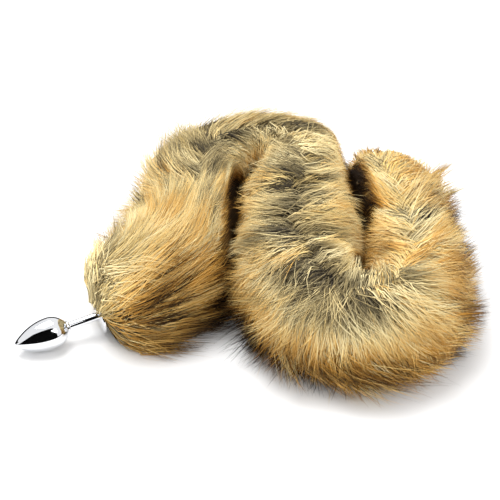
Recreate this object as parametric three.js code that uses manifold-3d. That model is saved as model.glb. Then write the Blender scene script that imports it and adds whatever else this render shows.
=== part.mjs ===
// A long fur tail on a polished metal plug, lying on a table in an S of three runs.
// Millimetres, +Z up. The plug points to the left, and the tail winds away to the right of it.
// The origin is the middle of the box round the whole object, on the surface that it lies on.
import * as THREE from "three";
import { mergeVertices } from "three/addons/utils/BufferGeometryUtils.js";
import Module from "manifold-3d";

const wasm = await Module();
wasm.setup();

// The plug, turned from one piece of metal: bulb, stem and flange
const BULB_LENGTH = 46;
const BULB_DIAMETER = 27;
const BULB_WIDEST = 0.66; // where it is widest, as a share of its length from the tip
const BULB_POINT = 0.8; // 1 is a round nose, and less is a fuller one behind a sharper point
const TIP_DIAMETER = 1.6;
const STEM_LENGTH = 26;
const STEM_DIAMETER = 7;
const FILLET_RADIUS = 1.5; // where the stem meets the bulb and the flange
const FLANGE_DIAMETER = 30;
const FLANGE_THICKNESS = 2;
const FLANGE_ROUNDING = 0.6;
const PLUG_SIDES = 28;
const BULB_STEPS = 13;
const ARC_STEPS = 3;

// How the plug lies: heading in plan from +X towards +Y, and its rise towards the flange
const PLUG_HEADING = 22.5;
const PLUG_PITCH = 6.4;

// The hidden post that carries the tail, seated in the flange's back
const POST_DIAMETER = 8;
const POST_LENGTH = 26;
const POST_SEAT_DEPTH = 1;
const POST_SIDES = 24;
const CLEARANCE = 0.3; // between the pieces

// The tail
const TAIL_LENGTH = 746;
const TAIL_WIDTH = 104;
const TAIL_ABOVE = 56; // height of the fur over the middle of its backing, at its fullest
const TAIL_BELOW = 44; // the same under it, before the table presses it flat
const CUFF_LENGTH = 2.5; // the gathered end of the backing, bare behind the flange
const CUFF_INSET = 1.5;
const RUN_GAP = 1; // between two runs pressed against each other
const BEND_INSIDE = 0.9; // how near the fur comes to a bend's centre, as a share of the bend's radius
const LEVEL_SHARE = 0.25; // of the tail's length, by which it has stopped rising
const TAIL_SIDES = 14;

// Shares of the length where the body has a section: close together at its ends, and even between them
const FLARE_STATIONS = [0.005, 0.0075, 0.0125, 0.02, 0.033];
const EVEN_STATIONS = 40;
const TAPER_STATIONS = [0.955, 0.968, 0.98, 0.989, 0.995];

// The route in plan: each stretch's share of the tail's length, and its turn to the left in degrees
const ROUTE = [
  { stretch: "swings away from the plug", share: 0.132, turn: 42 },
  { stretch: "first run, going back", share: 0.0815, turn: 35 },
  { stretch: "leans into the back bend", share: 0.066, turn: -48 },
  { stretch: "back bend", share: 0.143, turn: -145 },
  { stretch: "second run, coming forward", share: 0.138, turn: 4 },
  { stretch: "leans into the front bend", share: 0.0815, turn: 43 },
  { stretch: "front bend", share: 0.092, turn: 102 },
  { stretch: "leaves the front bend", share: 0.093, turn: 50 },
  { stretch: "third run, going back", share: 0.173, turn: -8 },
];

// The fur's outer form: shares of the tail's length, width and height
const FORM = [
  { at: 0.0075, width: 0.7, height: 0.66 },
  { at: 0.02, width: 0.88, height: 0.88 },
  { at: 0.055, width: 0.95, height: 0.98 },
  { at: 0.1, width: 0.93, height: 1.0 },
  { at: 0.16, width: 0.97, height: 0.98 },
  { at: 0.22, width: 0.97, height: 0.93 },
  { at: 0.3, width: 0.97, height: 0.87 },
  { at: 0.38, width: 1.12, height: 0.96 },
  { at: 0.5, width: 1.06, height: 1.0 },
  { at: 0.6, width: 1.02, height: 0.96 },
  { at: 0.7, width: 0.96, height: 0.93 },
  { at: 0.78, width: 0.8, height: 0.86 },
  { at: 0.84, width: 0.79, height: 0.84 },
  { at: 0.9, width: 0.9, height: 0.86 },
  { at: 0.94, width: 0.96, height: 0.84 },
  { at: 0.975, width: 0.82, height: 0.72 },
  { at: 0.995, width: 0.5, height: 0.46 },
];

// The locks of the fur: tapered wedges in staggered rows, rooted in it, with their tips clear of it
const LOCK_SPACING = 43; // along the tail
const LOCK_ANGLES = [-96, -63, -31, 0, 32, 65, 98]; // round it, from its top
const LOCK_LENGTH = 56;
const LOCK_WIDTH = 32;
const LOCK_THICKNESS = 7;
const LOCK_PRESSED = 1.2; // locks that would reach this share of the free width are pressed flat
const LOCK_CLEAR = 1.5; // a lock's distance from the table, and from the face of a neighbouring run
const LOCK_LEAN = 40; // degrees from straight round the flank to straight along the tail
const BRUSH_LEAN = 80; // the same beside the plug, where the fur is combed back
const BRUSH_LENGTH = 120; // over which the second becomes the first
const LOCK_TIP = 1.13; // the tip's distance from the backing, as a share of the fur's own
const UNEVEN_SPACING = 0.2; // shares of the spacing and of the size, and degrees round the tail
const UNEVEN_SIZE = 0.2;
const UNEVEN_ANGLE = 7;
const UNEVEN_WAVE = { row: 12.9898, column: 78.233, height: 437.5 }; // its fraction looks random

// A lock's sections: share of its length, distance from the backing, and share of its width
const LOCK_FORM = [
  { part: 0, reach: 0.84, width: 0.8 },
  { part: 0.55, reach: 1.02, width: 0.9 },
];

// How finely the route is worked out, and how exact the joins are: corners nearer than the one
// are the same corner, and slivers thinner than the other close up
const STEPS = 400;
const SAME_CORNER = 0.001;
const JOIN_TOLERANCE = 0.005;

const radians = THREE.MathUtils.degToRad;
const lerp = THREE.MathUtils.lerp;
const smooth = THREE.MathUtils.smoothstep;

// A closed three.js geometry as a solid
function solidOf(geometry) {
  const bare = geometry.clone();
  bare.deleteAttribute("normal");
  bare.deleteAttribute("uv");
  const merged = mergeVertices(bare, SAME_CORNER);
  return new wasm.Manifold(
    new wasm.Mesh({
      tolerance: JOIN_TOLERANCE,
      numProp: 3,
      vertProperties: new Float32Array(merged.attributes.position.array),
      triVerts: new Uint32Array(merged.index.array),
    }),
  );
}

// A solid's outer skin alone, its closest corners merged: pockets sealed in between locks are filled
function outerSkin(solid) {
  const shells = solidOf(geometryOf(solid)).decompose();
  return shells.reduce((best, shell) => (shell.volume() > best.volume() ? shell : best));
}

// A solid as a geometry with flat faces
function geometryOf(solid) {
  const mesh = solid.getMesh();
  const geometry = new THREE.BufferGeometry();
  const positions = new Float32Array(mesh.vertProperties);
  geometry.setAttribute("position", new THREE.BufferAttribute(positions, 3));
  geometry.setIndex(new THREE.BufferAttribute(new Uint32Array(mesh.triVerts), 1));
  geometry.computeVertexNormals();
  return geometry;
}

// The bulb's radius from its tip (0) to its back (1): a pointed ogive that closes in a round shoulder
function bulbRadius(share) {
  const half = BULB_DIAMETER / 2;
  if (share < BULB_WIDEST) {
    const rise = Math.sin((Math.PI / 2) * Math.pow(share / BULB_WIDEST, BULB_POINT));
    return lerp(TIP_DIAMETER / 2, half, rise);
  }
  const past = (share - BULB_WIDEST) / (1 - BULB_WIDEST);
  return half * Math.sqrt(Math.max(1 - past * past, 0));
}

// Points of a quarter circle between two directions, for the plug's profile
function arc(centreRadius, centreAlong, radius, from, to) {
  const points = [];
  for (let i = 0; i <= ARC_STEPS; i++) {
    const angle = radians(lerp(from, to, i / ARC_STEPS));
    const r = centreRadius + radius * Math.cos(angle);
    points.push(new THREE.Vector2(r, centreAlong + radius * Math.sin(angle)));
  }
  return points;
}

const flangeFront = BULB_LENGTH + STEM_LENGTH;
const flangeBack = flangeFront + FLANGE_THICKNESS;
const seatRadius = POST_DIAMETER / 2 + CLEARANCE;

// Radius against distance from the tip, from the axis at the tip to the axis in the flange's seat
function plugProfile() {
  const neck = STEM_DIAMETER / 2 + FILLET_RADIUS;
  const rim = FLANGE_DIAMETER / 2 - FLANGE_ROUNDING;
  const points = [new THREE.Vector2(0, 0)];
  for (let i = 0; i <= BULB_STEPS; i++) {
    const share = Math.sin((Math.PI / 2) * (i / BULB_STEPS));
    const r = bulbRadius(share);
    if (share > BULB_WIDEST && r < neck) break;
    points.push(new THREE.Vector2(r, share * BULB_LENGTH));
  }
  points.push(...arc(neck, BULB_LENGTH + FILLET_RADIUS, FILLET_RADIUS, 270, 180));
  points.push(...arc(neck, flangeFront - FILLET_RADIUS, FILLET_RADIUS, 180, 90));
  points.push(...arc(rim, flangeFront + FLANGE_ROUNDING, FLANGE_ROUNDING, 270, 360));
  points.push(...arc(rim, flangeBack - FLANGE_ROUNDING, FLANGE_ROUNDING, 0, 90));
  points.push(new THREE.Vector2(seatRadius, flangeBack));
  points.push(new THREE.Vector2(seatRadius, flangeBack - POST_SEAT_DEPTH));
  points.push(new THREE.Vector2(0, flangeBack - POST_SEAT_DEPTH));
  return points;
}

// The bulb rests on the table: the plug's lowest point, measured down from the middle of its flange's back
function flangeHeight(profile) {
  const pitch = radians(PLUG_PITCH);
  const drops = profile.map(
    (p) => (flangeBack - p.y) * Math.sin(pitch) + p.x * Math.cos(pitch),
  );
  return Math.max(...drops);
}

// Position and axes at a distance along the tail's backing: ahead, right and up
class Frame {
  constructor(position, heading, pitch) {
    const level = Math.cos(pitch);
    this.position = position;
    this.heading = heading;
    this.ahead = new THREE.Vector3(
      Math.cos(heading) * level,
      Math.sin(heading) * level,
      Math.sin(pitch),
    );
    this.right = new THREE.Vector3(Math.sin(heading), -Math.cos(heading), 0);
    this.up = new THREE.Vector3().crossVectors(this.right, this.ahead);
  }
}

// The whole route in small equal steps, each turning as its stretch says
function walkRoute(start) {
  const frames = [];
  const position = start.clone();
  const step = TAIL_LENGTH / STEPS;
  let heading = radians(PLUG_HEADING);
  for (let i = 0; i <= STEPS; i++) {
    const share = i / STEPS;
    const pitch = radians(PLUG_PITCH) * Math.max(0, 1 - share / LEVEL_SHARE);
    const frame = new Frame(position.clone(), heading, pitch);
    let passed = 0;
    const stretch = ROUTE.find((row) => (passed += row.share) > share + 0.5 / STEPS);
    const row = stretch ?? ROUTE[ROUTE.length - 1];
    frame.turning = radians(row.turn) / (row.share * TAIL_LENGTH);
    frames.push(frame);
    const middle = new Frame(position, heading + (frame.turning * step) / 2, pitch);
    position.addScaledVector(middle.ahead, step);
    heading += frame.turning * step;
  }
  return frames;
}

// How far the fur may reach to one side of each frame: to the middle between two stretches of the tail
// that lie side by side, and not as far as the centre of a bend. Right is 1 and left is -1.
function roomBeside(frames, side) {
  return frames.map((frame) => {
    const inwards = -side * frame.turning;
    let room = inwards > 0 ? BEND_INSIDE / inwards : Infinity;
    for (const other of frames) {
      const dx = other.position.x - frame.position.x;
      const dy = other.position.y - frame.position.y;
      const across = side * (frame.right.x * dx + frame.right.y * dy);
      if (across <= 0) continue;
      room = Math.min(room, (dx * dx + dy * dy) / (2 * across) - RUN_GAP / 2);
    }
    return room;
  });
}

const profile = plugProfile();
const start = new THREE.Vector3(0, 0, flangeHeight(profile));
const route = walkRoute(start);
const room = { right: roomBeside(route, 1), left: roomBeside(route, -1) };

// The frame at a share of the length, run straight on past either end
function frameAt(share) {
  const at = THREE.MathUtils.clamp(share, 0, 1) * STEPS;
  const low = route[Math.floor(at)];
  const high = route[Math.min(Math.floor(at) + 1, STEPS)];
  const part = at - Math.floor(at);
  const heading = lerp(low.heading, high.heading, part);
  const pitch = lerp(Math.asin(low.ahead.z), Math.asin(high.ahead.z), part);
  const position = low.position.clone().lerp(high.position, part);
  const frame = new Frame(position, heading, pitch);
  const beyond = share - THREE.MathUtils.clamp(share, 0, 1);
  frame.position.addScaledVector(frame.ahead, beyond * TAIL_LENGTH);
  return frame;
}

const cuffShare = CUFF_LENGTH / TAIL_LENGTH;
const cuffRadius = FLANGE_DIAMETER / 2 - CUFF_INSET;

// Half width, height over the backing and depth under it. The gathered end is round.
function formAt(share) {
  const cuff = { at: cuffShare, half: cuffRadius, above: cuffRadius, below: cuffRadius };
  const rows = [cuff].concat(
    FORM.map((row) => ({
      at: row.at,
      half: (row.width * TAIL_WIDTH) / 2,
      above: row.height * TAIL_ABOVE,
      below: row.height * TAIL_BELOW,
    })),
  );
  const next = rows.findIndex((row) => row.at >= share);
  if (next === 0) return cuff;
  if (next < 0) return rows[rows.length - 1];
  const [low, high] = [rows[next - 1], rows[next]];
  const part = (share - low.at) / (high.at - low.at);
  const eased = low === cuff ? Math.sin((part * Math.PI) / 2) : smooth(part, 0, 1);
  return {
    half: lerp(low.half, high.half, eased),
    above: lerp(low.above, high.above, eased),
    below: lerp(low.below, high.below, eased),
  };
}

// Free width on one side: the fur stops where the next run begins
function roomAt(share, side) {
  const at = Math.round(THREE.MathUtils.clamp(share, 0, 1) * STEPS);
  return (side > 0 ? room.right : room.left)[at];
}

// A point of the fur, from a share of the length, an angle from the top towards the right, a share
// of the way from the backing to the fur's surface, and the distance kept from table and neighbour
function furPoint(share, angle, reach, clear = 0) {
  const frame = frameAt(share);
  const form = formAt(share);
  const side = Math.sin(angle) >= 0 ? 1 : -1;
  const half = Math.min(form.half * reach, roomAt(share, side) - clear);
  const height = Math.cos(angle) >= 0 ? form.above : form.below;
  const point = frame.position.clone();
  point.addScaledVector(frame.right, half * Math.sin(angle));
  point.addScaledVector(frame.up, height * reach * Math.cos(angle));
  point.z = Math.max(point.z, clear);
  return point;
}

// A closed skin over rings of equal size, with a flat fan at each end
function skin(rings, firstEnd, lastEnd) {
  const count = rings[0].length;
  const points = rings.flat().concat([firstEnd, lastEnd]);
  const first = points.length - 2;
  const last = points.length - 1;
  const faces = [];
  for (let side = 0; side < count; side++) {
    const next = (side + 1) % count;
    faces.push(first, next, side);
    for (let ring = 0; ring + 1 < rings.length; ring++) {
      const [a, b] = [ring * count + side, ring * count + next];
      faces.push(a, b, a + count, b, b + count, a + count);
    }
    const base = (rings.length - 1) * count;
    faces.push(last, base + side, base + next);
  }
  const geometry = new THREE.BufferGeometry().setFromPoints(points);
  geometry.setIndex(faces);
  return geometry;
}

// Every section's share of the length, from the flange to the tail's end
function stations() {
  const shares = [0, cuffShare, ...FLARE_STATIONS];
  const from = FLARE_STATIONS[FLARE_STATIONS.length - 1];
  for (let i = 1; i < EVEN_STATIONS; i++) {
    shares.push(lerp(from, TAPER_STATIONS[0], i / EVEN_STATIONS));
  }
  return shares.concat(TAPER_STATIONS);
}

// The fur's main mass round its backing
function furBody() {
  const rings = stations().map((share) => {
    const ring = [];
    for (let side = 0; side < TAIL_SIDES; side++) {
      ring.push(furPoint(share, (2 * Math.PI * side) / TAIL_SIDES, 1));
    }
    return ring;
  });
  const end = frameAt(1).position.clone();
  return solidOf(skin(rings, start.clone(), end));
}

// The same small irregularity, from -1 to 1, each time for the same row and column
function unevenness(row, column) {
  const wave = UNEVEN_WAVE.height * Math.sin(row * UNEVEN_WAVE.row + column * UNEVEN_WAVE.column);
  return 2 * (wave - Math.floor(wave)) - 1;
}

// One lock from its root's share and angle: three-sided sections, two edges and a ridge, then the tip
function lock(share, angle, size) {
  const combed = smooth(share * TAIL_LENGTH, 0, BRUSH_LENGTH);
  const lean = radians(lerp(BRUSH_LEAN, LOCK_LEAN, combed));
  const { half } = formAt(share);
  const at = (part, reach) => {
    const run = part * LOCK_LENGTH * size;
    const ahead = share + (run * Math.sin(lean)) / TAIL_LENGTH;
    const down = angle + (Math.sign(angle) * run * Math.cos(lean)) / half;
    return furPoint(ahead, down, reach, LOCK_CLEAR);
  };
  const tip = at(1, LOCK_TIP);
  const rings = LOCK_FORM.map((row) => {
    const middle = at(row.part, row.reach);
    const way = tip.clone().sub(middle).normalize();
    const out = middle.clone().sub(frameAt(share).position);
    const across = new THREE.Vector3().crossVectors(way, out).normalize();
    const over = new THREE.Vector3().crossVectors(across, way);
    const edge = (row.width * LOCK_WIDTH * size) / 2;
    const corners = [
      middle.clone().addScaledVector(across, edge),
      middle.clone().addScaledVector(across, -edge),
      middle.clone().addScaledVector(over, LOCK_THICKNESS * size),
    ];
    for (const corner of corners) corner.z = Math.max(corner.z, LOCK_CLEAR);
    return corners;
  });
  return solidOf(skin(rings, at(0, LOCK_FORM[0].reach), tip));
}

// Staggered rows of locks from the cuff to the tail's end, smaller where the tail is slimmer
function locks() {
  const made = [];
  const rows = Math.floor(TAIL_LENGTH / LOCK_SPACING);
  for (let row = 0; row < rows; row++) {
    LOCK_ANGLES.forEach((degrees, column) => {
      const uneven = unevenness(row, column);
      const stagger = (column % 2) / 2 + uneven * UNEVEN_SPACING;
      const share = ((row + 0.5 + stagger) * LOCK_SPACING) / TAIL_LENGTH;
      const angle = radians(degrees + UNEVEN_ANGLE * unevenness(column, row));
      const { half } = formAt(share);
      const reach = Math.abs(Math.sin(angle)) * half * LOCK_TIP;
      const pressed = reach > LOCK_PRESSED * roomAt(share, Math.sign(angle));
      const size = (half / (TAIL_WIDTH / 2)) * (1 + UNEVEN_SIZE * uneven);
      if (share < 1 && !pressed) made.push(lock(share, angle, size));
    });
  }
  return made;
}

// Lays a piece that is built upright along +Y, from the plug's tip, on the lying plug's axis
function layOnAxis(geometry) {
  const axis = route[0];
  const turn = new THREE.Matrix4().makeBasis(axis.right, axis.ahead, axis.up);
  geometry.applyMatrix4(new THREE.Matrix4().makeTranslation(0, -flangeBack, 0));
  geometry.applyMatrix4(turn);
  geometry.applyMatrix4(new THREE.Matrix4().makeTranslation(start));
  return geometry;
}

// A round bar on the plug's axis between two distances from its tip
function bar(radius, from, to) {
  const made = new THREE.CylinderGeometry(radius, radius, to - from, POST_SIDES);
  made.translate(0, (from + to) / 2, 0);
  return layOnAxis(made);
}

function plugGeometry() {
  return layOnAxis(new THREE.LatheGeometry(profile, PLUG_SIDES));
}

// The post stands in the flange's seat and runs into the tail
const postStart = flangeBack - POST_SEAT_DEPTH + CLEARANCE;
const postEnd = postStart + POST_LENGTH;

function postGeometry() {
  return bar(POST_DIAMETER / 2, postStart, postEnd);
}

// The tail's fur and locks in one, with the post's hole, cut back to a plane that clears the flange
function tailGeometry() {
  let made = furBody();
  for (const one of locks()) made = made.add(one);
  const hole = bar(seatRadius, flangeFront, postEnd + CLEARANCE);
  const beforeTail = bar(TAIL_WIDTH, flangeFront - TAIL_WIDTH, flangeBack + CLEARANCE);
  return geometryOf(outerSkin(made.subtract(solidOf(hole)).subtract(solidOf(beforeTail))));
}

function named(name, geometry, colour, roughness, metalness) {
  const material = new THREE.MeshStandardMaterial({ color: colour, roughness, metalness });
  const mesh = new THREE.Mesh(geometry, material);
  mesh.name = name;
  return mesh;
}

const group = new THREE.Group();
group.add(named("plug", plugGeometry(), 0xe4e6ea, 0.08, 1));
group.add(named("tail_post", postGeometry(), 0xb9bcc0, 0.35, 1));
group.add(named("fur_tail", tailGeometry(), 0xc9a469, 0.9, 0));

// The origin goes to the middle of the whole object's box, on the table
const box = new THREE.Box3().setFromObject(group);
const centre = box.getCenter(new THREE.Vector3());
group.position.set(-centre.x, -centre.y, -box.min.z);

export default group;
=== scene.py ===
# A long fur tail on a polished metal plug, lying on a table in an S of three runs.
# Metres, +Z up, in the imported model's frame.
import math

import bpy
import numpy as np
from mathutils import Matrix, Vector


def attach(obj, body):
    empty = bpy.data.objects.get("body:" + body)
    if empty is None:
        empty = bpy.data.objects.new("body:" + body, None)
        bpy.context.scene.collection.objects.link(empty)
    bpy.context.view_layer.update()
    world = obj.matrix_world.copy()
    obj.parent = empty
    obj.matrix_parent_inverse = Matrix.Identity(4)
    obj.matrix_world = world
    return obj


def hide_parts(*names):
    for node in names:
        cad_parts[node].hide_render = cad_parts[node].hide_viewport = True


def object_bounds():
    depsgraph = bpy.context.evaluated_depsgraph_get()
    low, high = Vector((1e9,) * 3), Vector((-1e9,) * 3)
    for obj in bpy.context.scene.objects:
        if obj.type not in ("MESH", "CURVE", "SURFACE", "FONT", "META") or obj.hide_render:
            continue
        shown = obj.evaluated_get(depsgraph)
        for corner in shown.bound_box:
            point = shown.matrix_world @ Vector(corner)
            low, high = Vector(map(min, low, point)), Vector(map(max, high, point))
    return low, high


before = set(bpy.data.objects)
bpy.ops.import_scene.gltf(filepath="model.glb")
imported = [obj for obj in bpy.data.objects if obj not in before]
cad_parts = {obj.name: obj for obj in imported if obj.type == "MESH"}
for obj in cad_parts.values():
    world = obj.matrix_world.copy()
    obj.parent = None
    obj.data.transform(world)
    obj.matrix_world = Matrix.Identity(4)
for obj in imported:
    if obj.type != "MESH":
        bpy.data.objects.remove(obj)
cad_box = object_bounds()

# The photograph's camera
LOOK_PAST_FLANGE = (0.1206, 0.1091)  # the point on the table that it looks at
CAMERA_DISTANCE = 1.4
CAMERA_ELEVATION = math.radians(38.0)
LENS_MM = 115.86
SENSOR_MM = 36.0

# The plug's profile, from its tip to its flange's back
BULB_LENGTH = 0.046
BULB_RADIUS = 0.0135
BULB_WIDEST = 0.66
BULB_POINT = 0.8
TIP_RADIUS = 0.0008
STEM_LENGTH = 0.026
STEM_RADIUS = 0.0035
FILLET_RADIUS = 0.0015
FLANGE_RADIUS = 0.015
FLANGE_THICKNESS = 0.002
FLANGE_ROUNDING = 0.0006
SEAT_RADIUS = 0.0043
SEAT_DEPTH = 0.001
PLUG_SIDES = 96
BULB_STEPS = 48
ARC_STEPS = 8
SHARP_EDGE = math.radians(50)
PLUG_HEADING = math.radians(22.5)
PLUG_PITCH = math.radians(6.4)

# The tail: its route and outer form, as in the CAD model
TAIL_LENGTH = 0.746
TAIL_HALF_WIDTH = 0.052
TAIL_ABOVE = 0.056
TAIL_BELOW = 0.044
CUFF_LENGTH = 0.0025
CUFF_RADIUS = 0.0135
RUN_GAP = 0.001
BEND_INSIDE = 0.9
LEVEL_SHARE = 0.25
STEPS = 400
ROOM_MOST = 0.075  # room beyond this isn't needed
ROOM_BLUR = 23  # steps over which the room is evened out
LEAST_CLEAR = 0.0005  # of the fur over the table
ROUTE = [  # share of the length, turn to the left in degrees
    (0.132, 42), (0.0815, 35), (0.066, -48), (0.143, -145), (0.138, 4),
    (0.0815, 43), (0.092, 102), (0.093, 50), (0.173, -8),
]
FORM = np.array([  # share of the length, width, height
    (0.0075, 0.70, 0.66), (0.02, 0.88, 0.88), (0.055, 0.95, 0.98), (0.1, 0.93, 1.00),
    (0.16, 0.97, 0.98), (0.22, 0.97, 0.93), (0.3, 0.97, 0.87), (0.38, 1.12, 0.96),
    (0.5, 1.06, 1.00), (0.6, 1.02, 0.96), (0.7, 0.96, 0.93), (0.78, 0.80, 0.86),
    (0.84, 0.79, 0.84), (0.9, 0.90, 0.86), (0.94, 0.96, 0.84), (0.975, 0.82, 0.72),
    (0.995, 0.50, 0.46),
])

# The fur
SEED = 11
CLOSING_SEED = 500
PIECES = [  # name, and the stretch of the tail where its hairs are rooted
    ("fur_first_run", 0.0, 0.20),
    ("fur_back_bend", 0.20, 0.40),
    ("fur_second_run", 0.40, 0.58),
    ("fur_front_bend", 0.58, 0.79),
    ("fur_third_run", 0.79, 1.0),
]
TUFTS = 1100  # in each piece
HAIRS = 33  # in each tuft
HAIR_POINTS = 4
HAIR_STEPS = np.linspace(0, 1, HAIR_POINTS)
HAIR_LENGTH = 0.068
HAIR_WIDTH = 0.0007
MOST_PROUD = np.array([0.019, 0.018, 0.011])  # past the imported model's box
COLLAR = 0.007  # how far the first fur stands back over the flange
COLLAR_ENDS = (0.008, 0.05)
SOFTNESS = 0.85  # how far a hair is lit as the fur's surface is, rather than by itself

# What the hairs of a tuft have in common. Angles round the tail are in radians from its top, and
# leans and curls in degrees. A spread is random, and a drift changes smoothly over the tail.
CREST_TUFTS = 0.42  # share of the tufts that are rooted near the crest
CREST_SPREAD = 0.42
MOST_ANGLE = 2.5
PARTING_SPREAD, PARTING_DRIFT = 0.12, 0.25
LEAN_SPREAD, LEAN_DRIFT = 5, 14
CURL_SPREAD, CURL_DRIFT = 9, 34
TINT_SPREAD, TINT_DRIFT = 0.16, 0.3
SHADE_SPREAD, SHADE_DRIFT = 0.10, 0.30
TUFT_SIZES = (0.82, 1.14)
STANDING_TUFTS = 0.25
STANDING_LIFTS = (0.03, 0.15)
FLANK_LIFT = 0.12
LIFT_SPREAD = 0.02
SPIKY_TUFTS = 0.26  # tufts that draw together to a point and stand out
SPIKY_FLARES = (0.10, 0.34)
SPIKY_PULL = 0.3
SPIKY_SPLAY = 0.5
MOST_FLARE = 0.14
FREE_LOOKS_AHEAD = 1.3  # a tuft is free if the fur further down than its roots is
DRIFT_WAVES = 3
DRIFT_ALONG = 34
DRIFT_AROUND = 3
DRIFTS = {  # kind: seed, and how fine its waves are
    "parting": (3, (2.0, 4.0)),
    "swirl": (5, (1.0, 1.8, 3.1)),
    "broad shade": (9, (1.0, 1.8, 3.1)),
    "broad tint": (13, (1.0, 1.8, 3.1)),
    "lean": (21, (4.0, 7.0)),
    "shade": (31, (5.0, 8.0, 12.0)),
    "curl": (41, (1.5, 3.0)),
    "tint": (51, (6.0, 10.0)),
}

# Each hair: shares of all hairs, its size, and how it lies
UNDERFUR = 0.22
UNDERFUR_LENGTH = 0.28
UNDERFUR_REACH, UNDERFUR_SPREAD, UNDERFUR_TIPS = 0.90, 0.03, 0.02
STRAYS = 0.07
STRAY_LEAN_SPREAD = 9
STRAY_LIFTS = (0.02, 0.13)
FIRST_ROOT, LAST_ROOT = 0.002, 0.999  # shares of the tail's length
TUFT_RADIUS = 0.0048
PULL, PULL_SPREAD, MOST_PULL = 0.52, 0.2, 0.95  # how far the hairs of a tuft draw together
PULL_POWER = 1.3
HAIR_SIZES = (0.84, 1.1)
HAIR_LEAN_SPREAD = 4
SWIRL = 36
WILD_COMBING = (16, 50)  # hair combed along the tail swirls, hair combed round it lies more evenly
LEAST_WILD = 0.3
SLIM_LENGTH = 0.3  # the share of a hair's length that doesn't shrink where the tail is slim
FLANK_LENGTH, CREST_LENGTH = 0.86, 0.3
SPLAY_ENDS, SPLAY_OVER, LEAST_SPLAY = 1.75, 1.1, -0.15
ROOT_REACH, ROOT_CREST, ROOT_UNDER = 0.60, 0.22, 0.08
FULL_LIFT, FULL_SPREAD = 0.45, 0.016
FLANK_FULL, CREST_LESS = 0.04, 0.02
TIP_DROP, TIP_LIFT, TIP_SPREAD, FLANK_TIPS = 0.06, 1.1, 0.02, 0.10
RISEN = 0.62  # the share of a hair where it has reached the fur's surface
RISE_POWER = 0.8
RUN_POWER = 1.15
CURL_MIDDLE = 0.4
LEAST_SHARE = 0.0015
END_STARTS = 0.97  # from here on, hairs come to rest within one of the endings past it
ENDINGS = (0.022, 0.058)
END_CLOSES = (0.978, 1.012)  # and here they close over the tail's end, each by one of the closings
CLOSINGS = (0.1, 1.0)
SQUEEZED = (0.84, 1.14)  # shares of the room where the fur is pressed a little, and fully
SQUEEZED_REACH = 0.2
PRESSED_ROOM = (0.6, 0.45)  # shares of the room that the fur takes at its backing, and further out
HAIR_CLEAR, HAIR_CLEAR_SPREAD = 0.0004, 0.002
RIBBON_CLEAR = 0.0003
CENTRE_REACH = 0.05
ROLL_SPREAD = 0.25
HAIR_WIDTHS = (0.7, 1.3)
WIDTH_ALONG = np.array([0.8, 1.0, 0.6, 0.05])

# Shade runs from the dark root (0) over grey, cream and gold to the nearly black tip (1)
SHADE_ALONG, SHADE_MIDDLE = 0.26, 0.62
BROAD_SHADE_DRIFT = 0.2
HAIR_SHADE_SPREAD = 0.04
# Painted shade: the fur is darkened in the seams where it is pressed against a neighbouring run
SEAM_PAINTED_SHADE, SEAM_PAINTED_SHADE_POWER = 0.62, 1.6
UNDERFUR_SHADE, UNDERFUR_SHADE_ALONG = 0.22, 0.34
SHADE_ENDS = (0.01, 0.99)
BLACK_TIPS, FLANK_BLACK_TIPS = 0.12, 0.3
BLACK_ALONG = np.array([0, 0, 0.04, 0.28])
TINT, FLANK_TINT = 0.42, 0.22
HAIR_TINT_SPREAD = 0.10
TINT_ENDS = (0.02, 0.98)
TINT_ACROSS = 0.002
TINT_WAVES, TINT_WAVE_DEPTH = 60.0, 0.06
HAIR_ROUGHNESS, HAIR_ROUGHNESS_ALONG = 0.62, -0.14
HAIR_SPECULAR = 0.12

# The undercoat
UNDERCOAT_SIDES, UNDERCOAT_ROWS = 72, 260
UNDERCOAT_ENDS = (0.0035, 0.985)
UNDERCOAT_CAP = 0.99
UNDERCOAT_REACH, UNDERCOAT_TOP = 0.72, 0.1
UNDERCOAT_CLEAR = 0.0012
LUMPS = (0.03, 9, 40, 190)  # depth, how many round the tail, slant, how many along it
WAVES = (0.02, 17, -310)  # depth, how many round the tail, slant

# The studio: floor, cards and lights
FLOOR_HALF = 6.0
FLOOR_GREYS = (0.86, 0.88)
CARD_NEAR, CARD_FAR, CARD_LEFT, CARD_RIGHT = -0.2, -1.3, -1.6, 1.3
CARD_LEFT_TOP, CARD_RIGHT_TOP = 2.2, 4.0
CARD_LOW = 0.001
CARD_BLACK = 0.003
BACK_CARD_RADIUS = 2.5
BACK_CARD_START, BACK_CARD_TURN = 50, 150  # degrees
BACK_CARD_HEIGHT = 0.85
BACK_CARD_STEPS = 24
WORLD_STRENGTH = 0.95
LIGHTS = [  # name, place, size and power; both face the origin
    ("top_light", (-0.35, 0.35, 1.4), (1.0, 0.9), 20),
    ("front_light", (0.9, -1.1, 1.3), (0.9, 0.9), 6),
]

# Tables along the tail
COMBING = np.array([  # share of the length, degrees from straight round the flank to straight along
    (0.0, 78), (0.07, 62), (0.14, 46), (0.22, 32), (0.30, 20), (0.38, 8), (0.45, -8),
    (0.56, -8), (0.62, 4), (0.70, 12), (0.78, 24), (0.86, 32), (0.94, 56), (1.0, 80),
])
# The darker values on flanks that face a neighbouring run, as on the first run's right flank, are partly
# painted shade of the seam and partly the fur's own darker colour
SHADES = np.array([  # share of the length, shade on the left flank, along the crest, on the right flank
    (0.00, 0.62, 0.57, 0.86), (0.05, 0.61, 0.56, 0.98), (0.14, 0.58, 0.44, 0.96),
    (0.21, 0.56, 0.38, 0.86), (0.28, 0.60, 0.34, 0.82), (0.36, 0.65, 0.36, 0.80),
    (0.42, 0.70, 0.37, 0.71), (0.50, 0.72, 0.36, 0.66), (0.58, 0.76, 0.35, 0.69),
    (0.64, 0.76, 0.39, 0.75), (0.72, 0.76, 0.46, 0.80), (0.80, 0.80, 0.58, 0.80),
    (0.90, 0.82, 0.68, 0.80), (1.00, 0.76, 0.70, 0.78),
])
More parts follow.
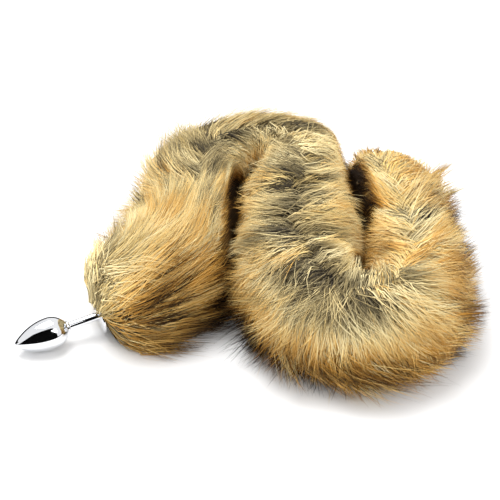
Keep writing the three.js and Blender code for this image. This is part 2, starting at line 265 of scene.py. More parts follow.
# Some patches are painted shade. Those at shares 0.075 to 0.095 and 0.605 on the right flank, and at 0.851
# to 0.935 on the left, darken the seams where runs press together. The one at 0.405 darkens the crease of
# the back bend. The rest are the fur's own markings.
PATCHES = np.array([  # share of the length, angle, how far along, how far round, change of shade
    (0.070, 1.00, 0.040, 0.50, 0.20), (0.075, 1.75, 0.040, 0.50, 0.18), (0.052, 0.80, 0.010, 0.25, -0.50),
    (0.085, 0.58, 0.011, 0.26, -0.48), (0.038, 1.35, 0.018, 0.20, -0.36), (0.112, 0.75, 0.010, 0.35, -0.20),
    (0.160, 0.60, 0.022, 0.30, -0.30), (0.130, 0.10, 0.020, 0.30, -0.10), (0.300, 0.10, 0.030, 0.22, -0.14),
    (0.240, 0.10, 0.020, 0.25, -0.12), (0.405, 0.55, 0.022, 0.45, 0.26), (0.385, -0.15, 0.010, 0.20, 0.34),
    (0.470, 0.10, 0.020, 0.35, -0.08), (0.525, 0.20, 0.012, 0.25, -0.12), (0.590, -0.05, 0.012, 0.35, -0.10),
    (0.615, 0.55, 0.010, 0.20, -0.20), (0.640, 0.30, 0.018, 0.35, -0.12), (0.690, 0.45, 0.015, 0.18, -0.22),
    (0.851, -0.95, 0.022, 0.40, 0.34), (0.935, -0.95, 0.018, 0.40, 0.34), (0.815, 1.05, 0.030, 0.30, 0.28),
    (0.780, -0.10, 0.030, 0.40, -0.08), (0.510, -0.60, 0.060, 0.25, 0.12), (0.095, 1.65, 0.030, 0.55, 0.50),
    (0.605, 1.75, 0.022, 0.50, 0.34), (0.660, 0.85, 0.020, 0.30, -0.20), (0.694, 0.85, 0.018, 0.30, -0.20),
    (0.425, 0.25, 0.014, 0.30, -0.15), (0.335, 0.50, 0.018, 0.25, -0.12), (0.155, 0.15, 0.024, 0.35, -0.18),
    (0.085, 1.10, 0.020, 0.40, 0.14), (0.866, -0.80, 0.013, 0.35, 0.20),
])
SEAM_SHIFTS = np.array([  # share of the length, and how much further the fur reaches to the left and right
    (0.080, 0.000, 0.000), (0.120, 0.000, -0.005), (0.160, 0.000, -0.010), (0.210, 0.000, -0.009),
    (0.270, 0.000, 0.000), (0.400, 0.012, 0.000), (0.450, 0.009, 0.009), (0.500, 0.010, 0.010),
    (0.560, 0.009, 0.005), (0.610, 0.000, 0.000), (0.800, 0.000, 0.000), (0.850, -0.009, 0.000),
    (0.900, -0.010, 0.000), (0.960, -0.008, 0.000),
])


# The part's own origin: the bulb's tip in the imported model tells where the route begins
def plug_tip():
    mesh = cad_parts["plug"].data
    points = np.empty(len(mesh.vertices) * 3)
    mesh.vertices.foreach_get("co", points)
    points = points.reshape(-1, 3)
    along = np.array([math.cos(PLUG_HEADING) * math.cos(PLUG_PITCH),
                      math.sin(PLUG_HEADING) * math.cos(PLUG_PITCH), math.sin(PLUG_PITCH)])
    depths = points @ along
    rim = np.unique(points[depths < depths.min() + 1e-5].round(6), axis=0)
    return rim.mean(axis=0), along


TIP, AXIS = plug_tip()
FLANGE_BACK = BULB_LENGTH + STEM_LENGTH + FLANGE_THICKNESS
START = TIP + AXIS * FLANGE_BACK


# Axes along a heading and a pitch: ahead, right and up
def axes(heading, pitch):
    ahead = np.stack([np.cos(heading) * np.cos(pitch), np.sin(heading) * np.cos(pitch),
                      np.sin(pitch)], -1)
    right = np.stack([np.sin(heading), -np.cos(heading), np.zeros_like(heading)], -1)
    return ahead, right, np.cross(right, ahead)


# The whole route in small equal steps: positions, headings, pitches and how sharply it turns
def walk_route():
    shares = np.arange(STEPS + 1) / STEPS
    pitches = PLUG_PITCH * np.maximum(0, 1 - shares / LEVEL_SHARE)
    ends = np.cumsum([row[0] for row in ROUTE])
    rows = np.minimum(np.searchsorted(ends, shares + 0.5 / STEPS), len(ROUTE) - 1)
    turning = np.array([math.radians(turn) / (share * TAIL_LENGTH) for share, turn in ROUTE])[rows]
    step = TAIL_LENGTH / STEPS
    headings = PLUG_HEADING + np.concatenate([[0], np.cumsum(turning[:-1] * step)])
    ahead, _, _ = axes(headings + turning * step / 2, pitches)
    moves = np.concatenate([[START], ahead[:-1] * step])
    return np.cumsum(moves, axis=0), headings, pitches, turning


POSITIONS, HEADINGS, PITCHES, TURNING = walk_route()


# How far the fur may reach to one side: to the middle between two neighbouring runs
def room_beside(side):
    _, right, _ = axes(HEADINGS, PITCHES)
    inwards = np.maximum(-side * TURNING, 1e-6)
    gaps = POSITIONS[None, :, :2] - POSITIONS[:, None, :2]
    across = side * np.einsum("ijk,ik->ij", gaps, right[:, :2])
    reach = np.sum(gaps ** 2, axis=2) / np.maximum(2 * across, 1e-9)
    reach[across <= 0] = np.inf
    return np.minimum(BEND_INSIDE / inwards, reach.min(axis=1) - RUN_GAP / 2)


SHIFT_LEFT, SHIFT_RIGHT = (np.interp(np.arange(STEPS + 1) / STEPS, SEAM_SHIFTS[:, 0], SEAM_SHIFTS[:, i])
                           for i in (1, 2))


# Room that changes gently along the tail
def soften(room):
    weights = np.hanning(ROOM_BLUR + 2)[1:-1]
    padded = np.pad(np.minimum(room, ROOM_MOST), ROOM_BLUR // 2, mode="edge")
    return np.convolve(padded, weights / weights.sum(), mode="valid")


ROOM_RIGHT = soften(room_beside(1) + SHIFT_RIGHT)
ROOM_LEFT = soften(room_beside(-1) + SHIFT_LEFT)


def smooth(x, low=0.0, high=1.0):
    part = np.clip((x - low) / (high - low), 0, 1)
    return part * part * (3 - 2 * part)


# Half width, height above the backing and depth below it
def form_at(shares):
    rows = FORM * [1, TAIL_HALF_WIDTH, 1]
    table = np.column_stack([rows[:, 0], rows[:, 1], rows[:, 2] * TAIL_ABOVE, rows[:, 2] * TAIL_BELOW])
    cuff = [CUFF_LENGTH / TAIL_LENGTH, CUFF_RADIUS, CUFF_RADIUS, CUFF_RADIUS]
    table = np.vstack([cuff, table])
    nxt = np.clip(np.searchsorted(table[:, 0], shares), 1, len(table) - 1)
    low, high = table[nxt - 1], table[nxt]
    part = np.clip((shares - low[:, 0]) / (high[:, 0] - low[:, 0]), 0, 1)
    eased = np.where(nxt == 1, np.sin(part * math.pi / 2), smooth(part))
    values = low + (high - low) * eased[:, None]
    return values[:, 1], values[:, 2], values[:, 3]


# Points of the fur: shares of the length, angles from the top to the right, shares of the way
# from the backing to the fur's surface, and the heights that they keep over the table
def fur_points(shares, angles, reach, clear=LEAST_CLEAR):
    at = np.clip(shares, 0, 1) * STEPS
    low = np.minimum(at.astype(int), STEPS - 1)
    part = at - low

    def between(values):
        weight = part[:, None] if values.ndim > 1 else part
        return values[low] * (1 - weight) + values[low + 1] * weight

    ahead, right, up = axes(between(HEADINGS), between(PITCHES))
    beyond = (shares - np.clip(shares, 0, 1)) * TAIL_LENGTH
    half, above, below = form_at(shares)
    free = np.where(np.sin(angles) >= 0, between(ROOM_RIGHT), between(ROOM_LEFT))
    half = np.minimum(half * reach, free * (PRESSED_ROOM[0] + PRESSED_ROOM[1] * reach))
    height = np.where(np.cos(angles) >= 0, above, below)
    points = between(POSITIONS) + ahead * beyond[:, None]
    points = points + right * (half * np.sin(angles))[:, None]
    points = points + up * (height * reach * np.cos(angles))[:, None]
    points[:, 2] = np.maximum(points[:, 2], clear)
    return keep_near(points)


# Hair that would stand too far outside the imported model's box is drawn back to it smoothly
def keep_near(points):
    low, high = np.array(cad_box[0]), np.array(cad_box[1])
    inside = np.clip(points, low, high)
    past = points - inside
    return inside + np.sign(past) * MOST_PROUD * np.tanh(np.abs(past) / MOST_PROUD)


# How far the fur is pressed against a neighbouring run, from 0 to 1
def squeeze(shares, angles):
    at = np.clip(shares, 0, 1) * STEPS
    free = np.interp(at, np.arange(STEPS + 1), ROOM_RIGHT)
    free = np.where(np.sin(angles) >= 0, free, np.interp(at, np.arange(STEPS + 1), ROOM_LEFT))
    half, _, _ = form_at(shares)
    return smooth(np.abs(np.sin(angles)) * half / free, *SQUEEZED)


def new_object(name, mesh, material):
    piece = bpy.data.objects.new(name, mesh)
    bpy.context.scene.collection.objects.link(piece)
    mesh.materials.append(material)
    return piece


# A mesh from arrays of corners and quads or triangles, all of one size
def mesh_of(name, points, faces):
    mesh = bpy.data.meshes.new(name)
    sides = faces.shape[1]
    mesh.vertices.add(len(points))
    mesh.vertices.foreach_set("co", np.ascontiguousarray(points, dtype=np.float32).ravel())
    mesh.loops.add(faces.size)
    mesh.loops.foreach_set("vertex_index", np.ascontiguousarray(faces, dtype=np.int32).ravel())
    mesh.polygons.add(len(faces))
    mesh.polygons.foreach_set("loop_start", np.arange(0, faces.size, sides, dtype=np.int32))
    mesh.polygons.foreach_set("use_smooth", np.full(len(faces), True))
    mesh.update(calc_edges=True)
    return mesh


# Quads between closed rings of corners, each ring after the other
def rings_of_quads(rings, sides):
    i, j = np.meshgrid(np.arange(rings - 1), np.arange(sides), indexing="ij")
    k = (j + 1) % sides
    corners = [i * sides + j, i * sides + k, (i + 1) * sides + k, (i + 1) * sides + j]
    return np.stack(corners, -1).reshape(-1, 4)


# A short way to make shader nodes and join them
class Shader:
    def __init__(self, name):
        self.material = bpy.data.materials.new(name)
        self.material.use_nodes = True
        self.tree = self.material.node_tree
        self.surface = self.tree.nodes["Principled BSDF"]

    def add(self, kind, **values):
        node = self.tree.nodes.new(kind)
        for key, value in values.items():
            setattr(node, key, value)
        return node

    def join(self, source, target):
        self.tree.links.new(source, target)

    def ramp(self, factor, stops):
        node = self.add("ShaderNodeValToRGB")
        elements = node.color_ramp.elements
        elements[0].position, elements[0].color = stops[0][0], (*stops[0][1], 1)
        elements[1].position, elements[1].color = stops[-1][0], (*stops[-1][1], 1)
        for place, colour in stops[1:-1]:
            elements.new(place).color = (*colour, 1)
        self.join(factor, node.inputs[0])
        return node.outputs[0]

    def math(self, operation, *values):
        node = self.add("ShaderNodeMath", operation=operation)
        for socket, value in zip(node.inputs, values):
            if isinstance(value, (int, float)):
                socket.default_value = value
            else:
                self.join(value, socket)
        return node.outputs[0]

    def mix(self, factor, first, second, blend="MIX"):
        node = self.add("ShaderNodeMix", data_type="RGBA", blend_type=blend)
        for socket, value in zip((node.inputs[0], node.inputs[6], node.inputs[7]),
                                 (factor, first, second)):
            if isinstance(value, (int, float)):
                socket.default_value = value
            else:
                self.join(value, socket)
        return node.outputs[2]

    def bump(self, height, strength, distance):
        node = self.add("ShaderNodeBump")
        node.inputs["Strength"].default_value = strength
        node.inputs["Distance"].default_value = distance
        self.join(height, node.inputs["Height"])
        self.join(node.outputs[0], self.surface.inputs["Normal"])

    def noise(self, scale, detail=2.0, stretch=(1, 1, 1)):
        place = self.add("ShaderNodeTexCoord").outputs["Object"]
        mapping = self.add("ShaderNodeMapping")
        mapping.inputs["Scale"].default_value = stretch
        self.join(place, mapping.inputs[0])
        node = self.add("ShaderNodeTexNoise")
        node.inputs["Scale"].default_value = scale
        node.inputs["Detail"].default_value = detail
        self.join(mapping.outputs[0], node.inputs["Vector"])
        return node.outputs[0]


# Linear colour from the usual 0 to 255 values
def rgb(red, green, blue):
    return tuple(((c / 255 + 0.055) / 1.055) ** 2.4 if c > 10 else c / 3295 for c in (red, green, blue))


# A hair's colour from its tint (u), which makes it paler or more golden, and its shade (v)
def fur_material():
    shader = Shader("fur_hair")
    place = shader.add("ShaderNodeUVMap", uv_map="OFBake").outputs[0]
    split = shader.add("ShaderNodeSeparateXYZ")
    shader.join(place, split.inputs[0])
    tint, shade = split.outputs[0], split.outputs[1]
    pale = shader.ramp(shade, [(0.0, rgb(30, 25, 20)), (0.12, rgb(74, 66, 52)), (0.25, rgb(132, 120, 88)),
                               (0.38, rgb(206, 188, 140)), (0.50, rgb(252, 236, 184)),
                               (0.64, rgb(254, 232, 168)), (0.77, rgb(238, 198, 118)),
                               (0.88, rgb(180, 136, 66)), (0.95, rgb(84, 60, 30)), (1.0, rgb(24, 17, 13))])
    gold = shader.ramp(shade, [(0.0, rgb(24, 19, 15)), (0.12, rgb(58, 50, 36)), (0.25, rgb(108, 94, 62)),
                               (0.38, rgb(172, 148, 94)), (0.50, rgb(234, 204, 132)),
                               (0.64, rgb(238, 188, 98)), (0.77, rgb(212, 152, 62)),
                               (0.88, rgb(140, 94, 34)), (0.95, rgb(60, 40, 18)), (1.0, rgb(17, 12, 9))])
    is_gold = shader.ramp(tint, [(0.15, (0, 0, 0)), (0.80, (1, 1, 1))])
    colour = shader.mix(is_gold, pale, gold)
    wave = shader.math("SINE", shader.math("MULTIPLY", tint, TINT_WAVES))
    streaks = shader.math("MULTIPLY_ADD", wave, TINT_WAVE_DEPTH, 1 - TINT_WAVE_DEPTH)
    colour = shader.mix(1.0, colour, streaks, "MULTIPLY")
    shader.join(colour, shader.surface.inputs["Base Color"])
    rough = shader.math("MULTIPLY_ADD", shade, HAIR_ROUGHNESS_ALONG, HAIR_ROUGHNESS)
    shader.join(rough, shader.surface.inputs["Roughness"])
    shader.surface.inputs["Specular IOR Level"].default_value = HAIR_SPECULAR
    return shader.material


# The matted fur close to the backing
def undercoat_material():
    shader = Shader("fur_undercoat")
    clumps = shader.noise(160, 4.0)
    colour = shader.ramp(clumps, [(0.3, rgb(52, 45, 36)), (0.5, rgb(98, 84, 60)), (0.72, rgb(150, 126, 86))])
    shader.join(colour, shader.surface.inputs["Base Color"])
    shader.join(shader.math("MULTIPLY_ADD", clumps, 0.2, 0.72), shader.surface.inputs["Roughness"])
    shader.bump(shader.noise(420, 3.0), 0.8, 0.002)
    return shader.material


def polished_material():
    shader = Shader("polished_metal")
    smudges = shader.noise(70, 3.0)
    colour = shader.ramp(smudges, [(0.3, rgb(232, 234, 238)), (0.7, rgb(244, 245, 247))])
    shader.join(colour, shader.surface.inputs["Base Color"])
    shader.surface.inputs["Metallic"].default_value = 1.0
    shader.join(shader.math("MULTIPLY_ADD", smudges, 0.05, 0.015), shader.surface.inputs["Roughness"])
    return shader.material


def post_material():
    shader = Shader("post_metal")
    rings = shader.noise(900, 2.0, stretch=(0.2, 1, 1))
    colour = shader.ramp(rings, [(0.3, rgb(176, 178, 182)), (0.7, rgb(206, 208, 211))])
    shader.join(colour, shader.surface.inputs["Base Color"])
    shader.surface.inputs["Metallic"].default_value = 1.0
    shader.join(shader.math("MULTIPLY_ADD", rings, 0.2, 0.25), shader.surface.inputs["Roughness"])
    return shader.material


# The bulb's radius from its tip (0) to its back (1)
def bulb_radius(share):
    if share < BULB_WIDEST:
        rise = math.sin(math.pi / 2 * (share / BULB_WIDEST) ** BULB_POINT)
        return TIP_RADIUS + (BULB_RADIUS - TIP_RADIUS) * rise
    past = (share - BULB_WIDEST) / (1 - BULB_WIDEST)
    return BULB_RADIUS * math.sqrt(max(1 - past * past, 0))


# Points of a quarter circle between two directions
def arc(centre, along, radius, start, end):
    turns = [math.radians(start + (end - start) * i / ARC_STEPS) for i in range(ARC_STEPS + 1)]
    return [(centre + radius * math.cos(a), along + radius * math.sin(a)) for a in turns]


# Radius and distance from the tip, all the way to the seat in the flange's back
def plug_profile():
    neck = STEM_RADIUS + FILLET_RADIUS
    rim = FLANGE_RADIUS - FLANGE_ROUNDING
    front = BULB_LENGTH + STEM_LENGTH
    points = [(0.0, 0.0)]
    for i in range(BULB_STEPS + 1):
        share = math.sin(math.pi / 2 * i / BULB_STEPS)
        radius = bulb_radius(share)
        if share > BULB_WIDEST and radius < neck:
            break
        points.append((radius, share * BULB_LENGTH))
    points += arc(neck, BULB_LENGTH + FILLET_RADIUS, FILLET_RADIUS, 270, 180)
    points += arc(neck, front - FILLET_RADIUS, FILLET_RADIUS, 180, 90)
    points += arc(rim, front + FLANGE_ROUNDING, FLANGE_ROUNDING, 270, 360)
    points += arc(rim, FLANGE_BACK - FLANGE_ROUNDING, FLANGE_ROUNDING, 0, 90)
    points += [(SEAT_RADIUS, FLANGE_BACK), (SEAT_RADIUS, FLANGE_BACK - SEAT_DEPTH)]
    return np.array(points + [(0.0, FLANGE_BACK - SEAT_DEPTH)])


# The plug, turned round the axis that the CAD model gives it
def make_plug():
    profile = plug_profile()
    _, right, up = axes(np.array(PLUG_HEADING), np.array(PLUG_PITCH))
    turns = np.arange(PLUG_SIDES) * 2 * math.pi / PLUG_SIDES
    spokes = np.cos(turns)[:, None] * up + np.sin(turns)[:, None] * right
    rings = TIP + profile[:, None, 1:] * AXIS + profile[:, None, :1] * spokes[None]
    faces = rings_of_quads(len(profile), PLUG_SIDES)
    mesh = mesh_of("plug_polished", rings.reshape(-1, 3), faces)
    piece = new_object("plug_polished", mesh, polished_material())
    edges = piece.modifiers.new("sharp edges", "EDGE_SPLIT")
    edges.split_angle = SHARP_EDGE
    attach(piece, "root")
    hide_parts("plug")


# The fur's dense base, well under the hair
def make_undercoat():
    sides, rows = UNDERCOAT_SIDES, UNDERCOAT_ROWS
    angles = np.arange(sides) * 2 * math.pi / sides
    s, a = np.meshgrid(np.linspace(*UNDERCOAT_ENDS, rows), angles, indexing="ij")
    s, a = s.ravel(), a.ravel()
    lumps = LUMPS[0] * np.sin(a * LUMPS[1] + LUMPS[2] * s) * np.sin(s * LUMPS[3])
    waves = WAVES[0] * np.sin(a * WAVES[1] + WAVES[2] * s)
    reach = UNDERCOAT_REACH + UNDERCOAT_TOP * np.cos(a) + lumps + waves
    points = fur_points(s, a, reach, UNDERCOAT_CLEAR)
    ends = fur_points(np.array([UNDERCOAT_ENDS[0], UNDERCOAT_CAP]), np.zeros(2), np.zeros(2), LEAST_CLEAR)
    around = np.arange(sides)
    after = (around + 1) % sides
    quads = rings_of_quads(rows, sides)
    first, last = rows * sides, rows * sides + 1
    base = (rows - 1) * sides
    triangles = np.vstack([
        quads[:, [0, 1, 2]], quads[:, [0, 2, 3]],
        np.stack([np.full(sides, first), after, around], -1),
        np.stack([np.full(sides, last), base + around, base + after], -1),
    ])
    mesh = mesh_of("fur_undercoat", np.vstack([points, ends]), triangles)
    piece = new_object("fur_undercoat", mesh, undercoat_material())
    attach(piece, "root")
    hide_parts("fur_tail")


# A smooth unevenness over the tail, from about -1 to 1, of one of the kinds in DRIFTS
def drift(kind, shares, angles):
    seed, scales = DRIFTS[kind]
    waves = np.random.default_rng(seed)
    total = np.zeros_like(shares)
    for scale in scales:
        for _ in range(DRIFT_WAVES):
            along, around = waves.normal(0, DRIFT_ALONG * scale), waves.integers(1, DRIFT_AROUND + 1)
            phase = waves.uniform(0, 2 * math.pi)
            total += np.sin(along * shares + around * angles * np.sign(along) + phase) / scale
    return total / DRIFT_WAVES / sum(1 / scale for scale in scales)


# The tufts of one piece: where each is rooted, and what its hairs have in common
def make_tufts(random, first, last):
    share = random.uniform(first, last, TUFTS)
    on_crest = random.uniform(0, 1, TUFTS) < CREST_TUFTS
    angle = np.where(on_crest, random.normal(0, CREST_SPREAD, TUFTS),
                     random.uniform(-MOST_ANGLE, MOST_ANGLE, TUFTS))
    parting = PARTING_DRIFT * drift("parting", share, np.zeros(TUFTS))
    parting = parting + random.normal(0, PARTING_SPREAD, TUFTS)
    lean = random.normal(0, LEAN_SPREAD, TUFTS) + LEAN_DRIFT * drift("lean", share, angle)
    size = random.uniform(*TUFT_SIZES, TUFTS)
    standing = random.uniform(0, 1, TUFTS) < STANDING_TUFTS
    lift = random.normal(0, LIFT_SPREAD, TUFTS)
    most_lift = STANDING_LIFTS[1] + FLANK_LIFT * smooth(np.abs(angle), 0.3, 1.2)
    lift += standing * random.uniform(STANDING_LIFTS[0], most_lift)
    outer = smooth(np.abs(angle), 0.55, 1.1) * (1 - smooth(np.abs(angle), 1.9, 2.3))
    free = 1 - squeeze(share, FREE_LOOKS_AHEAD * angle)
    spiky = (random.uniform(0, 1, TUFTS) < SPIKY_TUFTS) * free
    flare = outer * random.uniform(0.0, MOST_FLARE, TUFTS) * free
    flare = flare + spiky * random.uniform(*SPIKY_FLARES, TUFTS)
    curl = random.normal(0, CURL_SPREAD, TUFTS) + CURL_DRIFT * drift("curl", share, angle)
    tint = random.normal(0, TINT_SPREAD, TUFTS) + TINT_DRIFT * drift("tint", share, angle)
    shade = random.normal(0, SHADE_SPREAD, TUFTS) + SHADE_DRIFT * drift("shade", share, angle)
    return {"share": share, "angle": angle, "side": np.where(angle + parting >= 0, 1, -1), "lean": lean,
            "size": size, "lift": lift, "spiky": spiky, "flare": flare, "curl": curl, "tint": tint,
            "shade": shade}


# The hairs of the tufts. Most are long guard hairs that part along the crest and fall over the
# flanks. The rest is short underfur that stands up, and a few hairs that stray from their tufts.
def comb_hairs(random, tuft, closing):
    count = TUFTS * HAIRS

    def vary(spread):
        return random.normal(0, spread, count)

    under = random.uniform(0, 1, count) < UNDERFUR
    stray = (random.uniform(0, 1, count) < STRAYS) & ~under
    half, _, _ = form_at(tuft["share"])
    aside = random.normal(0, TUFT_RADIUS, (count, 2))
    pull = np.clip(PULL + vary(PULL_SPREAD) + SPIKY_PULL * tuft["spiky"], 0.0, MOST_PULL) * ~stray

    share = np.clip(tuft["share"], FIRST_ROOT, LAST_ROOT)
    angle = np.abs(tuft["angle"])
    size = tuft["size"] * random.uniform(*HAIR_SIZES, count)
    combed = np.interp(share, COMBING[:, 0], COMBING[:, 1])
    wild = LEAST_WILD + (1 - LEAST_WILD) * smooth(combed, *WILD_COMBING)
    lean = combed + SWIRL * drift("swirl", share, tuft["angle"]) * wild + tuft["lean"]
    lean = np.radians(lean + vary(HAIR_LEAN_SPREAD) + stray * vary(STRAY_LEAN_SPREAD))
    crestness = 1 - smooth(angle, 0.2, 1.3)
    flank = smooth(angle, 0.5, 1.6)
    slim = SLIM_LENGTH + (1 - SLIM_LENGTH) * np.minimum(half / TAIL_HALF_WIDTH, 1)
    grown = np.where(under, UNDERFUR_LENGTH, FLANK_LENGTH + CREST_LENGTH * crestness)
    splay = np.clip((SPLAY_ENDS - angle) / SPLAY_OVER, LEAST_SPLAY, 1.0)
    full = 1.0 + FULL_LIFT * tuft["lift"] + vary(FULL_SPREAD) + FLANK_FULL * flank - CREST_LESS * crestness
    lift = full - TIP_DROP + TIP_LIFT * tuft["lift"] + FLANK_TIPS * flank + tuft["flare"] + vary(TIP_SPREAD)
    full = np.where(under, UNDERFUR_REACH + vary(UNDERFUR_SPREAD), full)
    lift = np.where(under, full + UNDERFUR_TIPS, lift) + stray * random.uniform(*STRAY_LIFTS, count)
    return {"share": share, "angle": tuft["angle"], "side": tuft["side"], "half": half, "under": under,
            "aside": aside, "pull": pull, "lean": lean, "curl": np.radians(tuft["curl"]) * wild,
            "length": HAIR_LENGTH * size * slim * grown, "splay": splay * (1 - SPIKY_SPLAY * tuft["spiky"]),
            "root": ROOT_REACH + ROOT_CREST * crestness - ROOT_UNDER * under, "full": full, "lift": lift,
            "ending": random.uniform(*ENDINGS, count), "closing": closing.uniform(*CLOSINGS, count)}


# Each hair's middle line from its root to its tip, and the angle and the squeeze at its points
def hair_lines(random, hair):
    lines, angles, squeezes = [], [], []
    for v in HAIR_STEPS:
        run = hair["length"] * v ** RUN_POWER
        aside = hair["aside"] * (1 - hair["pull"] * v ** PULL_POWER)[:, None]
        turned = hair["lean"] + hair["curl"] * (v - CURL_MIDDLE)
        s = hair["share"] + (run * np.sin(turned) + aside[:, 0]) / TAIL_LENGTH
        down = hair["side"] * hair["splay"] * run * np.cos(turned)
        a = hair["angle"] + (down + aside[:, 1]) / hair["half"]
        rise = np.sin(min(v / RISEN, 1) * math.pi / 2) ** RISE_POWER
        reach = hair["root"] + (hair["full"] - hair["root"]) * rise
        reach = reach + (hair["lift"] - hair["full"]) * max(0, (v - RISEN) / (1 - RISEN))
        past = (np.maximum(s, LEAST_SHARE) - END_STARTS) / hair["ending"]
        s = np.where(past > 0, END_STARTS + hair["ending"] * np.tanh(past), np.maximum(s, LEAST_SHARE))
        squeezed = squeeze(s, a)
        reach = (reach - SQUEEZED_REACH * squeezed) * (1 - hair["closing"] * smooth(s, *END_CLOSES))
        clear = HAIR_CLEAR + HAIR_CLEAR_SPREAD * random.uniform(0, 1, len(s))
        collar = COLLAR * (1 - smooth(s, *COLLAR_ENDS)) * smooth(reach, 0.6, 1.0)
        collar = collar * smooth(np.cos(a), 0.0, 0.7)
        lines.append(fur_points(s, a, reach, clear) - collar[:, None] * AXIS)
        angles.append(a)
        squeezes.append(squeezed)
    return np.stack(lines, axis=1), np.stack(angles, axis=1), np.stack(squeezes, axis=1)


def unit(vectors):
    return vectors / np.maximum(np.linalg.norm(vectors, axis=2, keepdims=True), 1e-9)


# Two values for each point along a hair, one for its tip
def for_corners(values):
    return np.concatenate([np.repeat(values[:, :-1], 2, axis=1), values[:, -1:]], axis=1)


# Ribbons across the outward direction, turned a little at random, and their normals: the hairs are
# lit as part of the fur's soft surface, more than each by itself
def ribbons(random, hair, lines):
    count = len(lines)
    way = np.gradient(lines, axis=1)
    centre = fur_points(hair["share"], hair["angle"], np.full(count, CENTRE_REACH))
    out = lines - centre[:, None, :]
    across = unit(np.cross(way, out))
    over = unit(np.cross(across, way))
    roll = random.normal(0, ROLL_SPREAD, count)[:, None, None]
    across = across * np.cos(roll) + over * np.sin(roll)
    width = HAIR_WIDTH * random.uniform(*HAIR_WIDTHS, count)[:, None] * WIDTH_ALONG
    edge = across * width[:, :, None] / 2
    points = np.stack([lines - edge, lines + edge], axis=2)
    points[..., 2] = np.maximum(points[..., 2], RIBBON_CLEAR)
    tip = points[:, -1].mean(axis=1, keepdims=True)
    points = np.concatenate([points[:, :-1].reshape(count, -1, 3), tip], axis=1)
    over = unit(np.cross(across, way))
    out = unit(out)
    facing = np.sign(np.sum(over * out, axis=2, keepdims=True))
    return points, for_corners(unit(out * SOFTNESS + over * facing * (1 - SOFTNESS)))


# Quads between the ribbon's pairs of points, each as two triangles, and one triangle to the tip
def ribbon_faces(count):
    corners = 2 * (HAIR_POINTS - 1) + 1
    pattern = []
    for i in range(0, corners - 3, 2):
        pattern += [(i, i + 1, i + 3), (i, i + 3, i + 2)]
    pattern.append((corners - 3, corners - 2, corners - 1))
    return (np.arange(count)[:, None, None] * corners + np.array(pattern)[None]).reshape(-1, 3)


# Tint across the map and shade up it: darker towards the crest and again at the far tips, with painted shade
# where runs press together and in some of the patches
def hair_map(random, tuft, hair, angles, pressed):
    share, angle, under = hair["share"], hair["angle"], hair["under"]
    left, crest, right = (np.interp(share, SHADES[:, 0], SHADES[:, i])[:, None] for i in (1, 2, 3))
    fall = smooth(np.abs(angles), 0.25, 1.75)
    shade = crest + (np.where(angles >= 0, right, left) - crest) * fall
    shade = shade + SHADE_ALONG * (HAIR_STEPS[None] - SHADE_MIDDLE)
    shade = shade + BROAD_SHADE_DRIFT * drift("broad shade", share, angle)[:, None]
    for place, turn, along, around, change in PATCHES:
        near = ((share[:, None] - place) / along) ** 2 + ((angles - turn) / around) ** 2
        shade = shade + change * np.exp(-near)
    shade = shade + (tuft["shade"] + random.normal(0, HAIR_SHADE_SPREAD, len(share)))[:, None]
    many = BLACK_TIPS + FLANK_BLACK_TIPS * smooth(np.abs(angle), 0.9, 1.9)
    black = (random.uniform(0, 1, len(share)) < many) & ~under
    shade = shade + (black[:, None] * BLACK_ALONG) * smooth(fall, 0.2, 0.9)
    # Painted shade in the seams, where the fur is pressed against a neighbouring run
    shade = shade + SEAM_PAINTED_SHADE * pressed ** SEAM_PAINTED_SHADE_POWER
    dark = UNDERFUR_SHADE + UNDERFUR_SHADE_ALONG * HAIR_STEPS[None]
    shade = np.clip(np.where(under[:, None], np.minimum(shade, dark), shade), *SHADE_ENDS)
    tint = TINT + FLANK_TINT * smooth(np.abs(angle), 0.4, 1.6)
    tint = tint + TINT_DRIFT * drift("broad tint", share, angle)
    tint = np.clip(tint + tuft["tint"] + random.normal(0, HAIR_TINT_SPREAD, len(share)), *TINT_ENDS)
    edges = TINT_ACROSS * np.array([-1, 1] * (HAIR_POINTS - 1) + [0])
    return np.stack([tint[:, None] + edges, for_corners(shade)], axis=2).reshape(-1, 2)


# One piece of fur: tufts of hairs, rooted over a stretch of the tail
def make_fur(name, first, last, seed, material):
    random = np.random.default_rng(seed)
    tuft = {key: np.repeat(values, HAIRS) for key, values in make_tufts(random, first, last).items()}
    hair = comb_hairs(random, tuft, np.random.default_rng(seed + CLOSING_SEED))
    lines, angles, pressed = hair_lines(random, hair)
    points, normals = ribbons(random, hair, lines)
    faces = ribbon_faces(len(lines))
    mesh = mesh_of(name, points.reshape(-1, 3), faces)
    mesh.normals_split_custom_set_from_vertices(normals.reshape(-1, 3).tolist())
    uv = hair_map(random, tuft, hair, angles, pressed)
    layer = mesh.uv_layers.new(name="OFBake")
    layer.data.foreach_set("uv", uv[faces.ravel()].astype(np.float32).ravel())
    piece = new_object(name, mesh, material)
    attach(piece, "root")
    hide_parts("fur_tail")


def make_floor():
    mesh = bpy.data.meshes.new("floor")
    corners = [(-1, -1), (1, -1), (1, 1), (-1, 1)]
    mesh.from_pydata([(x * FLOOR_HALF, y * FLOOR_HALF, 0) for x, y in corners], [], [(0, 1, 2, 3)])
    shader = Shader("floor")
    darker, lighter = ((grey, grey, grey) for grey in FLOOR_GREYS)
    colour = shader.ramp(shader.noise(3.0), [(0.3, darker), (0.7, lighter)])
    shader.join(colour, shader.surface.inputs["Base Color"])
    shader.surface.inputs["Roughness"].default_value = 0.8
    new_object("floor", mesh, shader.material)


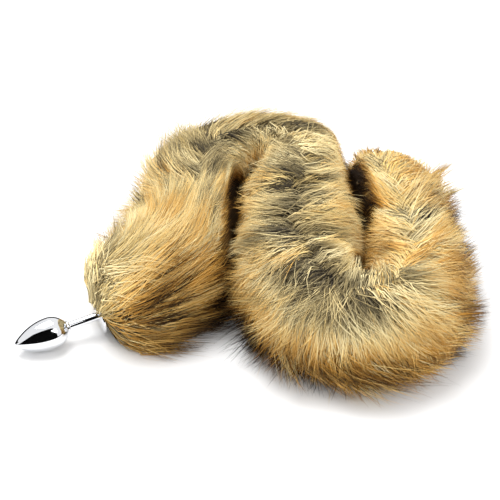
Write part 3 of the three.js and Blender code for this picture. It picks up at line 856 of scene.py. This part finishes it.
# A black card in front of the object, bent up from the table, which gives the polished metal its
# dark streak, and a low one round the back. Only mirrors see them.
def make_card():
    mesh = bpy.data.meshes.new("card")
    corners = [(CARD_LEFT, CARD_NEAR, CARD_LOW), (CARD_RIGHT, CARD_NEAR, CARD_LOW),
               (CARD_RIGHT, CARD_FAR, CARD_LOW), (CARD_LEFT, CARD_FAR, CARD_LOW),
               (CARD_RIGHT, CARD_FAR, CARD_RIGHT_TOP), (CARD_LEFT, CARD_FAR, CARD_LEFT_TOP)]
    faces = [(0, 1, 2, 3), (3, 2, 4, 5)]
    front_corners = len(corners)
    for i in range(BACK_CARD_STEPS + 1):
        turn = math.radians(BACK_CARD_START + BACK_CARD_TURN * i / BACK_CARD_STEPS)
        x, y = BACK_CARD_RADIUS * math.cos(turn), BACK_CARD_RADIUS * math.sin(turn)
        corners += [(x, y, CARD_LOW), (x, y, BACK_CARD_HEIGHT)]
        if i:
            at = front_corners + 2 * i
            faces.append((at - 2, at, at + 1, at - 1))
    mesh.from_pydata(corners, [], faces)
    shader = Shader("card")
    shader.surface.inputs["Base Color"].default_value = (CARD_BLACK, CARD_BLACK, CARD_BLACK, 1)
    shader.surface.inputs["Roughness"].default_value = 0.9
    shader.surface.inputs["Specular IOR Level"].default_value = 0.0
    card = new_object("card", mesh, shader.material)
    card.visible_camera = False
    card.visible_diffuse = False
    card.visible_shadow = False
    card.visible_transmission = False


def make_lights():
    world = bpy.data.worlds.new("studio")
    world.use_nodes = True
    background = world.node_tree.nodes["Background"]
    background.inputs["Color"].default_value = (1, 1, 1, 1)
    background.inputs["Strength"].default_value = WORLD_STRENGTH
    bpy.context.scene.world = world
    for name, place, size, power in LIGHTS:
        data = bpy.data.lights.new(name, "AREA")
        data.shape = "RECTANGLE"
        data.size, data.size_y = size
        data.energy = power
        lamp = bpy.data.objects.new(name, data)
        lamp.location = place
        lamp.rotation_euler = (-Vector(place)).to_track_quat("-Z", "Y").to_euler()
        bpy.context.scene.collection.objects.link(lamp)


def make_camera():
    data = bpy.data.cameras.new("camera")
    data.lens = LENS_MM
    data.sensor_width = SENSOR_MM
    camera = bpy.data.objects.new("camera", data)
    away = Vector((0, -math.cos(CAMERA_ELEVATION), math.sin(CAMERA_ELEVATION)))
    look_at = Vector((START[0] + LOOK_PAST_FLANGE[0], START[1] + LOOK_PAST_FLANGE[1], 0))
    camera.location = look_at + away * CAMERA_DISTANCE
    camera.rotation_euler = (-away).to_track_quat("-Z", "Y").to_euler()
    bpy.context.scene.collection.objects.link(camera)
    bpy.context.scene.camera = camera


make_camera()
bpy.context.scene.view_settings.view_transform = "Standard"
make_floor()
make_card()
make_lights()
make_plug()
make_undercoat()
hair = fur_material()
for number, (piece_name, begin, finish) in enumerate(PIECES):
    make_fur(piece_name, begin, finish, SEED + number, hair)
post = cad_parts["tail_post"]
post.material_slots[0].material = post_material()
